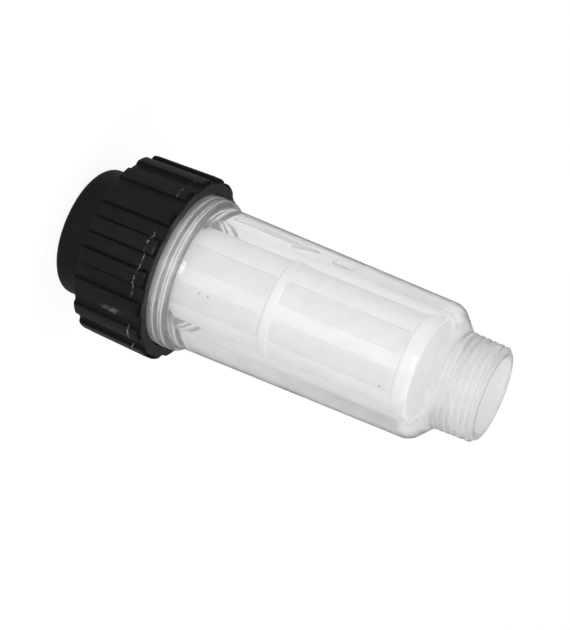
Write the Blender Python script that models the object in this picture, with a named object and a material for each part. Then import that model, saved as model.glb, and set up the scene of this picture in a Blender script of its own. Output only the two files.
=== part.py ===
# Inline water filter: a clear screw-in bowl, a ribbed black inlet cap and a moulded strainer.
# The filter stands on the flat end of its inlet collar, and +Z is the way the water flows.
# Run it with: blender --background --python part.py

import math

import bmesh
import bpy

MM = 0.001

# Running clearances between pieces that touch on the real filter
SEAT_GAP = 0.3 * MM
THREAD_GAP = 0.35 * MM

# Inlet collar, the smooth lower end of the cap
COLLAR_RADIUS = 18.0 * MM
COLLAR_LENGTH = 11.0 * MM
COLLAR_EDGE_ROUND = 2.4 * MM
COLLAR_WALL = 5.1 * MM
SOCKET_DEPTH = 11.5 * MM
SOCKET_CHAMFER = 0.8 * MM
WEB_THICKNESS = 2.5 * MM
SEAT_WIDTH = 4.9 * MM

# Ribbed nut, the upper part of the same moulding
NUT_LENGTH = 20.8 * MM
NUT_WALL = 2.85 * MM
NUT_BORE_EDGE = 2.2 * MM
RIB_COUNT = 18
RIB_HEIGHT = 1.25 * MM
RIB_SHARE = 0.5
RIB_WALL_SHARE = 0.09
RIB_EDGE_LIFT = 0.92
RIB_END_ROUND = 1.4 * MM
RIB_BACK_ROUND = 0.8 * MM
GROOVE_END_ROUND = 0.3 * MM
RIB_ANGLE = math.radians(-94.3)
PARTING_LINE_DROP = 3.3 * MM
NUT_DRAFT = math.radians(1.6)

# Clear bowl: screwed end, double bead, drafted tube, cone shoulder and threaded neck
TUBE_RADIUS = 19.9 * MM
TUBE_LENGTH = 67.0 * MM
TUBE_DRAFT = math.radians(1.04)
TUBE_WALL = 4.0 * MM
BORE_DRAFT = math.radians(0.28)
BOWL_THREAD_STEP = 0.6 * MM
BEAD_STEP = 1.1 * MM
LOWER_BEAD_LENGTH = 4.1 * MM
UPPER_BEAD_LENGTH = 2.3 * MM
BEAD_SLOPE_LENGTH = 2.1 * MM
BEAD_GROOVE_DEPTH = 0.35 * MM
UPPER_BEAD_INSET = 0.15 * MM
RIM_CHAMFER = 0.5 * MM
SHOULDER_ANGLE = math.radians(48.0)
SHOULDER_ROUND = 4.0 * MM
SHOULDER_WALL = 3.5 * MM
NECK_RADIUS = 13.02 * MM
NECK_LENGTH = 11.4 * MM
NECK_TAPER = 1.0 / 32.0
NECK_WALL = 2.4 * MM
MOUTH_CHAMFER = 1.05 * MM
NECK_THREAD_PITCH = 25.4 / 14 * MM
NECK_THREAD_DEPTH = 0.9 * MM
NECK_THREAD_LAND = 0.35

# Strainer cage with its flange, two rows of windows and a closed end
ANNULUS = 2.9 * MM
CAGE_WALL = 1.0 * MM
FLANGE_THICKNESS = 1.9 * MM
FLANGE_SIDE_GAP = 1.25 * MM
WINDOW_PAIRS = 3
WINDOW_WIDTH = math.radians(29.0)
NARROW_RIB_WIDTH = math.radians(16.5)
NARROW_RIB_ANGLE = math.radians(-84.0)
START_RING_LENGTH = 8.5 * MM
MIDDLE_RING_LENGTH = 3.0 * MM
MIDDLE_RING_STEP = 0.5 * MM
END_RING_LENGTH = 4.8 * MM
END_RING_STEP = 0.6 * MM
END_PLATE_THICKNESS = 1.5 * MM
END_SPACE = 4.1 * MM
INLET_LIP_DEPTH = 1.3 * MM
INLET_LIP_LENGTH = 1.0 * MM

# Mesh sleeve, bowl seal and inlet washer
MESH_THICKNESS = 0.4 * MM
SEAL_THICKNESS = 2.2 * MM
SEAL_ROUND = 0.6 * MM
WASHER_THICKNESS = 2.5 * MM
WASHER_ROUND = 0.3 * MM

# Facets round each turned piece, and steps in each rounded corner
TURN_STEPS = 72
SMALL_TURN_STEPS = 36
CORNER_STEPS = 3
SMALL_CORNER_STEPS = 1
NARROW_RIB_STEPS = 2
WIDE_RIB_STEPS = 5
WINDOW_STEPS = 3

# Heights of the seats, each one stacked on the one below
web_bottom = SOCKET_DEPTH
chamber_floor = web_bottom + WEB_THICKNESS
flange_bottom = chamber_floor + SEAT_GAP
flange_top = flange_bottom + FLANGE_THICKNESS
seal_bottom = flange_top + SEAT_GAP
seal_top = seal_bottom + SEAL_THICKNESS
rim_height = seal_top + SEAT_GAP
nut_face = COLLAR_LENGTH + NUT_LENGTH
bore_edge_floor = nut_face - NUT_BORE_EDGE
bead_bottom = bore_edge_floor + SEAT_GAP
bead_groove = bead_bottom + LOWER_BEAD_LENGTH
bead_top = bead_groove + UPPER_BEAD_LENGTH
tube_bottom = bead_top + BEAD_SLOPE_LENGTH
shoulder_height = tube_bottom + TUBE_LENGTH
parting_height = nut_face - PARTING_LINE_DROP

# Radii, from the bowl outwards to the nut and inwards to the strainer
bowl_thread_radius = TUBE_RADIUS + BOWL_THREAD_STEP
bead_radius = bowl_thread_radius + BEAD_STEP
cap_thread_radius = bowl_thread_radius + THREAD_GAP
bore_edge_radius = bead_radius + SEAT_GAP
groove_radius = bore_edge_radius + NUT_WALL
bore_radius = TUBE_RADIUS - TUBE_WALL
shoulder_radius = TUBE_RADIUS - TUBE_LENGTH * math.tan(TUBE_DRAFT)
socket_radius = COLLAR_RADIUS - COLLAR_WALL
port_radius = socket_radius - SEAT_WIDTH
cage_radius = bore_radius - ANNULUS
cage_bore = cage_radius - CAGE_WALL
lip_radius = cage_bore - INLET_LIP_DEPTH
flange_radius = cap_thread_radius - FLANGE_SIDE_GAP

# The cone shoulder falls to the neck, and its inner face runs parallel to its outer one
shoulder_fall = math.tan(SHOULDER_ANGLE)
neck_root_radius = NECK_RADIUS + NECK_LENGTH * NECK_TAPER
neck_bottom = shoulder_height + (shoulder_radius - neck_root_radius) / shoulder_fall
mouth_height = neck_bottom + NECK_LENGTH
outlet_radius = NECK_RADIUS - NECK_WALL
inner_cone_shift = SHOULDER_WALL / math.sin(SHOULDER_ANGLE)


def inner_cone_height(radius):
    """Height at which the inner cone has this radius."""
    return shoulder_height - inner_cone_shift + (shoulder_radius - radius) / shoulder_fall


def bore_radius_at(height):
    """Radius of the drafted bowl bore at this height."""
    return bore_radius - (height - rim_height) * math.tan(BORE_DRAFT)


def neck_thread():
    """Section points of the neck's thread, as rings with a flat crest and a V groove in each pitch."""
    groove_width = (1.0 - NECK_THREAD_LAND) * NECK_THREAD_PITCH
    thread_top = mouth_height - MOUTH_CHAMFER
    grooves = int((thread_top - neck_bottom) / NECK_THREAD_PITCH)
    points = []
    for index in range(grooves, 0, -1):
        middle = thread_top - (index - 0.5) * NECK_THREAD_PITCH
        for rise, depth in ((-groove_width / 2, 0.0), (0.0, NECK_THREAD_DEPTH), (groove_width / 2, 0.0)):
            height = middle + rise
            radius = neck_root_radius - (height - neck_bottom) * NECK_TAPER
            points.append((radius - depth, height, 0.0))
    return points


inner_shoulder_radius = bore_radius_at(inner_cone_height(bore_radius))
inner_shoulder = inner_cone_height(inner_shoulder_radius)
outlet_start = inner_cone_height(outlet_radius)
cage_end = outlet_start - END_SPACE


def clear_scene():
    for item in list(bpy.data.objects):
        bpy.data.objects.remove(item, do_unlink=True)


def material(name, colour, roughness, metallic=0.0, transmission=0.0):
    """A plain material with the colour and finish of one piece."""
    finish = bpy.data.materials.new(name)
    finish.use_nodes = True
    shader = finish.node_tree.nodes["Principled BSDF"]
    shader.inputs["Base Color"].default_value = (*colour, 1.0)
    shader.inputs["Roughness"].default_value = roughness
    shader.inputs["Metallic"].default_value = metallic
    shader.inputs["Transmission Weight"].default_value = transmission
    return finish


def rounded(corners, steps=CORNER_STEPS):
    """Section points with each corner (radius, height, rounding) turned into an arc."""
    section = []
    for index, (radius, height, rounding) in enumerate(corners):
        if rounding == 0.0:
            section.append((radius, height))
            continue
        before = corners[index - 1]
        after = corners[(index + 1) % len(corners)]
        legs = []
        for other in (before, after):
            across, up = other[0] - radius, other[1] - height
            length = math.hypot(across, up)
            legs.append((across / length, up / length))
        half = math.acos(legs[0][0] * legs[1][0] + legs[0][1] * legs[1][1]) / 2
        reach = rounding / math.sin(half)
        middle = (legs[0][0] + legs[1][0], legs[0][1] + legs[1][1])
        scale = reach / math.hypot(*middle)
        centre = (radius + middle[0] * scale, height + middle[1] * scale)
        tangent = rounding / math.tan(half)
        start = math.atan2(height + legs[0][1] * tangent - centre[1],
                           radius + legs[0][0] * tangent - centre[0])
        end = math.atan2(height + legs[1][1] * tangent - centre[1],
                         radius + legs[1][0] * tangent - centre[0])
        sweep = (end - start + math.pi) % (2 * math.pi) - math.pi
        for step in range(steps + 1):
            angle = start + sweep * step / steps
            section.append((centre[0] + rounding * math.cos(angle),
                            centre[1] + rounding * math.sin(angle)))
    return section


def finish_object(name, mesh_builder, finish):
    """Turn a bmesh into a named, shaded object with its faces pointing out."""
    bmesh.ops.recalc_face_normals(mesh_builder, faces=mesh_builder.faces)
    mesh = bpy.data.meshes.new(name)
    mesh_builder.to_mesh(mesh)
    mesh_builder.free()
    mesh.shade_smooth()
    mesh.set_sharp_from_angle(angle=math.radians(30.0))
    mesh.materials.append(finish)
    piece = bpy.data.objects.new(name, mesh)
    bpy.context.scene.collection.objects.link(piece)
    return piece


def add_ring(mesh_builder, section, angle):
    """One radial section of a turned piece, as a loop of vertices."""
    return [mesh_builder.verts.new((radius * math.cos(angle), radius * math.sin(angle), height))
            for radius, height in section]


def join_loops(mesh_builder, loops):
    """Skin a closed series of closed loops."""
    for index, loop in enumerate(loops):
        following = loops[(index + 1) % len(loops)]
        for corner in range(len(loop)):
            beyond = (corner + 1) % len(loop)
            mesh_builder.faces.new((loop[corner], loop[beyond], following[beyond], following[corner]))


def turned(name, section, finish, steps=TURN_STEPS):
    """A solid of revolution about Z from a closed section."""
    mesh_builder = bmesh.new()
    loops = [add_ring(mesh_builder, section, 2 * math.pi * step / steps) for step in range(steps)]
    join_loops(mesh_builder, loops)
    return finish_object(name, mesh_builder, finish)


def cap_section(lift):
    """The cap's section, with its outside in a groove at lift 0 and on a rib at lift 1."""
    back_fall = (parting_height - COLLAR_LENGTH) * math.tan(NUT_DRAFT)
    outside = groove_radius + lift * RIB_HEIGHT
    face_round = GROOVE_END_ROUND + lift * (RIB_END_ROUND - GROOVE_END_ROUND)
    back_round = GROOVE_END_ROUND + lift * (RIB_BACK_ROUND - GROOVE_END_ROUND)
    return rounded([
        (COLLAR_RADIUS, 0.0, COLLAR_EDGE_ROUND),
        (COLLAR_RADIUS, COLLAR_LENGTH, 0.0),
        (outside - back_fall, COLLAR_LENGTH, back_round),
        (outside, parting_height, 0.0),
        (outside, nut_face, face_round),
        (bore_edge_radius, nut_face, 0.0),
        (bore_edge_radius, bore_edge_floor, 0.0),
        (cap_thread_radius, bore_edge_floor, 0.0),
        (cap_thread_radius, chamber_floor, 0.0),
        (port_radius, chamber_floor, 0.0),
        (port_radius, web_bottom, 0.0),
        (socket_radius, web_bottom, 0.0),
        (socket_radius, SOCKET_CHAMFER, 0.0),
        (socket_radius + SOCKET_CHAMFER, 0.0, 0.0),
    ])


def rib_profile():
    """Places across one rib and its groove, as shares of the pitch, with the lift at each."""
    foot = (RIB_SHARE + RIB_WALL_SHARE) / 2
    edge = (RIB_SHARE - RIB_WALL_SHARE) / 2
    crown = edge / 2
    groove_middle = 0.5
    return [
        (-foot, 0.0),
        (-edge, RIB_EDGE_LIFT),
        (-crown, 1.0),
        (crown, 1.0),
        (edge, RIB_EDGE_LIFT),
        (foot, 0.0),
        (groove_middle, 0.0),
    ]


def make_screw_cap():
    """Collar and ribbed nut in one moulding, with the inlet socket below and the bowl's seat above."""
    finish = material("black_moulding", (0.016, 0.017, 0.018), 0.5)
    mesh_builder = bmesh.new()
    pitch = 2 * math.pi / RIB_COUNT
    loops = []
    for rib in range(RIB_COUNT):
        for share, lift in rib_profile():
            loops.append(add_ring(mesh_builder, cap_section(lift), RIB_ANGLE + (rib + share) * pitch))
    join_loops(mesh_builder, loops)
    return finish_object("screw_cap", mesh_builder, finish)


def make_housing():
    """Clear bowl: open screwed end below, male outlet neck above."""
    finish = material("clear_moulding", (0.93, 0.94, 0.94), 0.03, transmission=1.0)
    upper_bead_radius = bead_radius - UPPER_BEAD_INSET
    slope_middle = (upper_bead_radius + TUBE_RADIUS) / 2
    section = rounded([
        (bowl_thread_radius - RIM_CHAMFER, rim_height, 0.0),
        (bowl_thread_radius, rim_height + RIM_CHAMFER, 0.0),
        (bowl_thread_radius, bead_bottom, 0.0),
        (bead_radius, bead_bottom, 0.0),
        (bead_radius, bead_groove - BEAD_GROOVE_DEPTH, 0.0),
        (bead_radius - BEAD_GROOVE_DEPTH, bead_groove, 0.0),
        (upper_bead_radius, bead_groove + BEAD_GROOVE_DEPTH, 0.0),
        (upper_bead_radius, bead_top, 0.0),
        (slope_middle, bead_top + BEAD_SLOPE_LENGTH / 4, 0.0),
        (TUBE_RADIUS, tube_bottom, 0.0),
        (shoulder_radius, shoulder_height, SHOULDER_ROUND),
        (neck_root_radius, neck_bottom, 0.0),
        *neck_thread(),
        (NECK_RADIUS + MOUTH_CHAMFER * NECK_TAPER, mouth_height - MOUTH_CHAMFER, 0.0),
        (NECK_RADIUS - MOUTH_CHAMFER, mouth_height, 0.0),
        (outlet_radius, mouth_height, 0.0),
        (outlet_radius, outlet_start, 0.0),
        (inner_shoulder_radius, inner_shoulder, SHOULDER_ROUND / 2),
        (bore_radius, rim_height + RIM_CHAMFER, 0.0),
        (bore_radius + RIM_CHAMFER, rim_height, 0.0),
    ])
    return turned("housing", section, finish)


def cage_columns():
    """Angles round the cage, and whether the column that starts at each is a window."""
    wide_rib_width = 2 * math.pi / WINDOW_PAIRS - NARROW_RIB_WIDTH - 2 * WINDOW_WIDTH
    narrow_rib = (NARROW_RIB_WIDTH, NARROW_RIB_STEPS, False)
    wide_rib = (wide_rib_width, WIDE_RIB_STEPS, False)
    window = (WINDOW_WIDTH, WINDOW_STEPS, True)
    columns = []
    angle = NARROW_RIB_ANGLE - NARROW_RIB_WIDTH / 2
    for width, steps, opened in (narrow_rib, window, wide_rib, window) * WINDOW_PAIRS:
        for step in range(steps):
            columns.append((angle + width * step / steps, opened))
        angle += width
    return columns


def make_filter_cage():
    """Flanged strainer cage with two rows of windows and a closed far end."""
    finish = material("white_moulding", (0.86, 0.86, 0.85), 0.45)
    first_row = flange_top + START_RING_LENGTH
    end_ring = cage_end - END_RING_LENGTH
    row_length = (end_ring - first_row - MIDDLE_RING_LENGTH) / 2
    middle_ring = first_row + row_length
    second_row = middle_ring + MIDDLE_RING_LENGTH
    ring_edge = MIDDLE_RING_STEP
    end_edge = END_RING_STEP
    middle_radius = cage_radius + MIDDLE_RING_STEP
    end_radius = cage_radius + END_RING_STEP
    outer_path = [
        (flange_radius, flange_bottom),
        (flange_radius, flange_top),
        (cage_radius, flange_top),
        (cage_radius, first_row),
        (cage_radius, middle_ring),
        (middle_radius, middle_ring + ring_edge),
        (middle_radius, second_row - ring_edge),
        (cage_radius, second_row),
        (cage_radius, end_ring),
        (end_radius, end_ring + end_edge),
        (end_radius, cage_end - end_edge),
        (cage_radius, cage_end),
    ]
    inner_path = [
        (lip_radius, flange_bottom),
        (lip_radius, flange_top + INLET_LIP_LENGTH),
        (cage_bore, flange_top + INLET_LIP_LENGTH),
        (cage_bore, first_row),
        (cage_bore, middle_ring),
        (cage_bore, second_row),
        (cage_bore, end_ring),
        (cage_bore, cage_end - END_PLATE_THICKNESS),
    ]
    # Each window row, as the index of its lower edge on the outer and on the inner path
    window_rows = [(3, 3), (7, 5)]
    columns = cage_columns()
    mesh_builder = bmesh.new()
    outer = [add_ring(mesh_builder, outer_path, angle) for angle, opened in columns]
    inner = [add_ring(mesh_builder, inner_path, angle) for angle, opened in columns]
    outer_tip = mesh_builder.verts.new((0.0, 0.0, outer_path[-1][1]))
    inner_tip = mesh_builder.verts.new((0.0, 0.0, inner_path[-1][1]))
    for index, (angle, opened) in enumerate(columns):
        beyond = (index + 1) % len(columns)
        for lines, tip, rows in ((outer, outer_tip, [low for low, other in window_rows]),
                                 (inner, inner_tip, [low for other, low in window_rows])):
            line, following = lines[index], lines[beyond]
            for low in range(len(line) - 1):
                if not (opened and low in rows):
                    mesh_builder.faces.new((line[low], line[low + 1], following[low + 1], following[low]))
            mesh_builder.faces.new((line[-1], tip, following[-1]))
        mesh_builder.faces.new((outer[index][0], outer[beyond][0], inner[beyond][0], inner[index][0]))
        if not opened:
            continue
        for low, inner_low in window_rows:
            for step in (0, 1):
                mesh_builder.faces.new((outer[index][low + step], outer[beyond][low + step],
                                        inner[beyond][inner_low + step], inner[index][inner_low + step]))
            for side, neighbour in ((index, columns[index - 1]), (beyond, columns[beyond])):
                if not neighbour[1]:
                    mesh_builder.faces.new((outer[side][low], outer[side][low + 1],
                                            inner[side][inner_low + 1], inner[side][inner_low]))
    return finish_object("filter_cage", mesh_builder, finish)


def make_mesh_sleeve():
    """Fine strainer mesh, a thin sleeve that lies against the inside of the cage."""
    finish = material("strainer_mesh", (0.66, 0.66, 0.65), 0.6)
    outside = cage_bore - SEAT_GAP
    inside = outside - MESH_THICKNESS
    bottom = flange_top + INLET_LIP_LENGTH + SEAT_GAP
    top = cage_end - END_PLATE_THICKNESS - SEAT_GAP
    section = [(outside, bottom), (outside, top), (inside, top), (inside, bottom)]
    return turned("mesh_sleeve", section, finish, SMALL_TURN_STEPS)


def make_cap_seal():
    """Rubber ring between the strainer's flange and the rim of the bowl."""
    finish = material("black_rubber", (0.02, 0.02, 0.021), 0.75)
    inside = bore_radius + SEAT_GAP
    section = rounded([
        (flange_radius, seal_bottom, SEAL_ROUND),
        (flange_radius, seal_top, SEAL_ROUND),
        (inside, seal_top, SEAL_ROUND),
        (inside, seal_bottom, SEAL_ROUND),
    ], SMALL_CORNER_STEPS)
    return turned("cap_seal", section, finish, SMALL_TURN_STEPS)


def make_inlet_washer():
    """Flat rubber washer at the bottom of the inlet socket."""
    finish = material("grey_rubber", (0.05, 0.05, 0.052), 0.75)
    outside = socket_radius - SEAT_GAP
    top = web_bottom - SEAT_GAP
    bottom = top - WASHER_THICKNESS
    section = rounded([
        (outside, bottom, WASHER_ROUND),
        (outside, top, WASHER_ROUND),
        (port_radius, top, WASHER_ROUND),
        (port_radius, bottom, WASHER_ROUND),
    ], SMALL_CORNER_STEPS)
    return turned("inlet_washer", section, finish, SMALL_TURN_STEPS)


def main():
    clear_scene()
    make_screw_cap()
    make_inlet_washer()
    make_filter_cage()
    make_mesh_sleeve()
    make_cap_seal()
    make_housing()


main()
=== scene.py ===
"""Inline water filter: the finishes and the fine shapes, modelled around the packed frame.

The filter stands on its inlet collar and +Z is the way the water flows. Sizes are in metres.
Angles round the axis are measured from +X, anticlockwise as seen from the outlet.
"""

import math

import bmesh
import bpy
from bpy.props import FloatProperty, FloatVectorProperty, IntProperty, PointerProperty
from mathutils import Matrix, Vector, noise


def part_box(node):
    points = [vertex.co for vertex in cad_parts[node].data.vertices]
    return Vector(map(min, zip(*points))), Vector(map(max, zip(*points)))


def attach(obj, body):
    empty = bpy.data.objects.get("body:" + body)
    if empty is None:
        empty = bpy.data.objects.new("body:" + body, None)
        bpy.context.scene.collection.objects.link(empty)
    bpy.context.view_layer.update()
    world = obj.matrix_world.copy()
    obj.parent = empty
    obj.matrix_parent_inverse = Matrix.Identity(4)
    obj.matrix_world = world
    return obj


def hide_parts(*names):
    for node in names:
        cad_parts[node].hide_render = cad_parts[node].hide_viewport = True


bl_info = {
    "name": "Inline Water Filter",
    "version": (1, 0, 0),
    "blender": (4, 5, 0),
    "location": "View3D > Sidebar > Water Filter",
    "description": "Models the clear bowl, ribbed cap, strainer and seals of an inline water filter",
    "category": "Add Mesh",
}

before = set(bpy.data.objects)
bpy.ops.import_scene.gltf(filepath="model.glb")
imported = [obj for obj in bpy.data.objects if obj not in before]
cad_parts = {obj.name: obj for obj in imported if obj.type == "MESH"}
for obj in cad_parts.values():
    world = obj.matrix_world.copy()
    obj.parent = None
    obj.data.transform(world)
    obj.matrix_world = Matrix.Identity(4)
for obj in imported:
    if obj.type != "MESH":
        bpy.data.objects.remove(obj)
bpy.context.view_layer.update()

MM = 0.001
TOUCH = 0.001 * MM
FULL_TURN = 2.0 * math.pi
AXIS = {"center": (0.0, 0.0, 0.0), "axis": (0.0, 0.0, 1.0)}

# How milky the clear moulding is, as the share of it that doesn't let light straight through
TUBE_HAZE = 0.14
BEAD_HAZE = 0.28
# The ridges' milkiness draws painted highlight lines along the bead
RIDGE_HIGHLIGHT_HAZE = 0.6
NECK_HAZE = 0.42

# The photograph's long side in pixels, and how far its filter is turned from level
LONG_SIDE = 630.0
LEVEL_TURN = math.radians(21.5)

# Specks of dirt on the mesh: degrees round the axis, height and size in millimetres
DIRT_SPECKS = ((-70.3, 42.1, 0.45), (-70.3, 44.6, 0.45), (-49.5, 95.9, 0.6))

# The scuff on a rib: degrees round the axis, with its radius, height and size in metres
SCUFF_ANGLE = -45.5
SCUFF_RADIUS = 25.6 * MM
SCUFF_HEIGHT = 21.7 * MM
SCUFF_SIZE = (1.9 * MM, 1.9 * MM, 5.6 * MM)

# Painted shade on the ribs' walls: how dark it is, as a share of the crowns' black, and how much rougher the
# walls are than their crowns
WALL_PAINTED_SHADE = 0.3
WALL_ROUGHNESS = 0.4

# The painted highlight lines beside the bead's groove, drawn as milky bands: how far from it, and by how much
# they sit off its middle
RIDGE_REACH = 1.2 * MM
RIDGE_SHIFT = 0.12 * MM

# Painted shade where the bowl is seen edge on at the shoulder, as a share of its edge colour
SHOULDER_PAINTED_SHADE = 0.3

# The floor where it is the background: its glow, its share of what is seen, and what dims it in mirror
# images; and the painted shade that dims it through the bowl's lower side and through its far sides, so that
# those sides of the bowl look darker
FLOOR_GLOW = 1.12
FLOOR_SHARE = 0.8
MIRROR_DIMMING = 0.95
LOWER_PAINTED_SHADE = 0.4
SIDE_PAINTED_SHADE = 0.3

# The world's light on the filter, and how far the soft boxes stand from it
ROOM_LIGHT = 0.6
BOX_RISE = 0.55
BOX_BACK = 0.4
BOX_SIDE = 0.4

bowl_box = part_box("housing")
cap_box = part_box("screw_cap")
cage_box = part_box("filter_cage")
mesh_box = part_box("mesh_sleeve")
seal_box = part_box("cap_seal")
washer_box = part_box("inlet_washer")


def length(name, description, default):
    """A size in metres, shown with its unit."""
    return FloatProperty(name=name, description=description, default=default,
                         min=0.0, unit="LENGTH", precision=5)


def angle(name, description, degrees):
    """An angle, shown in degrees."""
    return FloatProperty(name=name, description=description, default=math.radians(degrees), subtype="ANGLE")


def power(name, description, default):
    """A lamp's power in watts."""
    return FloatProperty(name=name, description=description, default=default, min=0.0, unit="POWER")


def colour(name, description, default):
    """A linear colour."""
    return FloatVectorProperty(name=name, description=description, default=default,
                               min=0.0, max=1.0, size=3, subtype="COLOR")


class BowlSizes(bpy.types.PropertyGroup):
    """Sizes of the clear bowl."""
    thread_radius: length("Thread radius", "Over the crests of the thread in the cap", 20.5 * MM)
    thread_depth: length("Thread depth", "Depth of the thread in the cap", 1.1 * MM)
    thread_pitch: length("Thread pitch", "Rise of the bowl in one turn", 2.0 * MM)
    bead_bottom: length("Bead bottom", "Height where the double bead starts", 29.9 * MM)
    first_bead: length("First bead", "Length of the first bead, with the ridge in the cap", 4.5 * MM)
    second_bead: length("Second bead", "Length of the second bead", 2.1 * MM)
    second_bead_inset: length("Second bead inset", "How far the second bead stands back", 0.15 * MM)
    bead_groove: length("Bead groove", "Depth of the groove between the beads", 0.65 * MM)
    tube_radius: length("Tube radius", "Outside of the tube at the bead", 19.9 * MM)
    tube_bottom: length("Tube bottom", "Height where the tube starts", 38.4 * MM)
    shoulder_height: length("Shoulder height", "Height where the tube meets the cone", 105.4 * MM)
    shoulder_radius: length("Shoulder radius", "Outside of the tube at the cone", 18.684 * MM)
    shoulder_round: length("Shoulder round", "Rounding between tube and cone", 4.0 * MM)
    neck_bottom: length("Neck bottom", "Height where the cone meets the neck", 110.18 * MM)
    neck_root: length("Neck root", "Radius of the neck at the cone", 13.376 * MM)
    neck_taper: FloatProperty(name="Neck taper", description="Fall of the neck's radius along it",
                              default=1.0 / 32.0)
    mouth_chamfer: length("Mouth chamfer", "Chamfer at the outlet mouth", 1.05 * MM)
    neck_pitch: length("Neck thread pitch", "Pitch of the taper pipe thread", 25.4 * MM / 14.0)
    neck_depth: length("Neck thread depth", "Depth of the taper pipe thread", 0.7 * MM)
    bore_radius: length("Bore radius", "Inside of the bowl at its rim", 15.9 * MM)
    bore_end_radius: length("Bore end radius", "Inside of the bowl at the inner cone", 15.49 * MM)
    bore_end: length("Bore end", "Height where the bore meets the inner cone", 103.57 * MM)
    outlet_radius: length("Outlet radius", "Bore of the neck", 10.62 * MM)
    outlet_start: length("Outlet start", "Height where the neck's bore starts", 107.95 * MM)
    relief_height: length("Relief height", "Height of the flow arrow and the box on the tube", 0.25 * MM)
    relief_width: length("Relief width", "Width of the lines of the relief", 0.45 * MM)
    relief_angle: angle("Relief angle", "Place of the relief round the tube", -151.0)


class CapSizes(bpy.types.PropertyGroup):
    """Sizes of the ribbed cap."""
    collar_radius: length("Collar radius", "Outside of the smooth collar", 18.0 * MM)
    collar_length: length("Collar length", "Length of the smooth collar", 11.0 * MM)
    collar_round: length("Collar round", "Rounding of the collar's free edge", 2.4 * MM)
    groove_radius: length("Groove radius", "Outside of the nut between two ribs", 24.75 * MM)
    rib_height: length("Rib height", "How far a rib stands out", 1.25 * MM)
    rib_count: IntProperty(name="Ribs", description="Ribs round the nut", default=18, min=3)
    rib_angle: angle("Rib angle", "Place of the first rib round the axis", -94.3)
    rib_crown: angle("Rib crown", "Half the angle of a rib's crown", 4.1)
    rib_foot: angle("Rib foot", "Half the angle of a rib at its foot", 6.0)
    rib_end_round: length("Rib end round", "Rounding of a rib at the face", 1.4 * MM)
    rib_back_round: length("Rib back round", "Rounding of a rib at the back", 0.8 * MM)
    groove_round: length("Groove round", "Rounding of the nut's edges between the ribs", 0.3 * MM)
    parting_height: length("Parting line", "Height of the mould's parting line", 28.5 * MM)
    draft: angle("Draft", "Draft of the nut behind the parting line", 1.6)
    flash_height: length("Flash", "Height of the flash on the parting line", 0.09 * MM)
    bore_edge_radius: length("Bore edge radius", "Recess that takes the bowl's bead", 21.9 * MM)
    bore_edge_floor: length("Bore edge floor", "Height of the recess's floor", 29.6 * MM)
    thread_radius: length("Thread radius", "Root of the cap's inner thread", 20.85 * MM)
    thread_depth: length("Thread depth", "Depth of the cap's inner thread", 1.1 * MM)
    chamber_floor: length("Chamber floor", "Height of the strainer's seat", 14.0 * MM)
    web_bottom: length("Web bottom", "Height of the washer's seat", 11.5 * MM)
    port_radius: length("Port radius", "Hole through the web", 8.0 * MM)
    socket_radius: length("Socket radius", "Bore of the inlet socket", 12.9 * MM)
    socket_chamfer: length("Socket chamfer", "Chamfer at the socket's mouth", 0.8 * MM)


class StrainerSizes(bpy.types.PropertyGroup):
    """Sizes of the strainer's cage and mesh."""
    cage_radius: length("Cage radius", "Outside of the cage", 13.0 * MM)
    cage_bore: length("Cage bore", "Inside of the cage", 12.0 * MM)
    flange_thickness: length("Flange thickness", "Thickness of the flange", 1.9 * MM)
    lip_radius: length("Lip radius", "Inside of the inlet lip", 10.7 * MM)
    lip_length: length("Lip length", "Length of the inlet lip", 1.0 * MM)
    first_row: length("First row", "Height where the first row of windows starts", 24.7 * MM)
    middle_ring: length("Middle ring", "Height where the middle ring starts", 60.38 * MM)
    middle_length: length("Middle ring length", "Length of the middle ring", 3.0 * MM)
    middle_step: length("Middle ring step", "How far the middle ring stands out", 0.5 * MM)
    end_ring: length("End ring", "Height where the end ring starts", 99.05 * MM)
    end_step: length("End ring step", "How far the end ring stands out", 0.6 * MM)
    end_plate: length("End plate", "Thickness of the closed end", 1.5 * MM)
    pairs: IntProperty(name="Window pairs", description="Pairs of windows in each row", default=3, min=2)
    window_width: angle("Window width", "Width of a window round the axis", 29.0)
    rib_angle: angle("Rib angle", "Place of the narrow rib of the first pair round the axis", -84.0)
    rib_width: angle("Rib width", "Width of the narrow rib between the windows of a pair", 16.5)
    window_round: length("Window round", "Rounding of the windows' corners", 1.3 * MM)
    wire_count: IntProperty(name="Wires", description="Wires of the mesh round the sleeve", default=124)
    wire_relief: length("Wire relief", "Depth of the mesh between its wires", 0.16 * MM)
    mesh_wall: length("Mesh wall", "Thickness of the sleeve", 0.4 * MM)
    mesh_radius: length("Mesh radius", "Outside of the mesh, which is moulded into the cage", 12.75 * MM)


class SealSizes(bpy.types.PropertyGroup):
    """Sizes of the rubber rings."""
    seal_inside: length("Seal inside", "Inner radius of the bowl's seal", 16.2 * MM)
    seal_round: length("Seal round", "Rounding of the bowl seal's edges", 0.6 * MM)
    washer_inside: length("Washer inside", "Inner radius of the socket's washer", 8.0 * MM)
    washer_round: length("Washer round", "Rounding of the washer's edges", 0.3 * MM)


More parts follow.
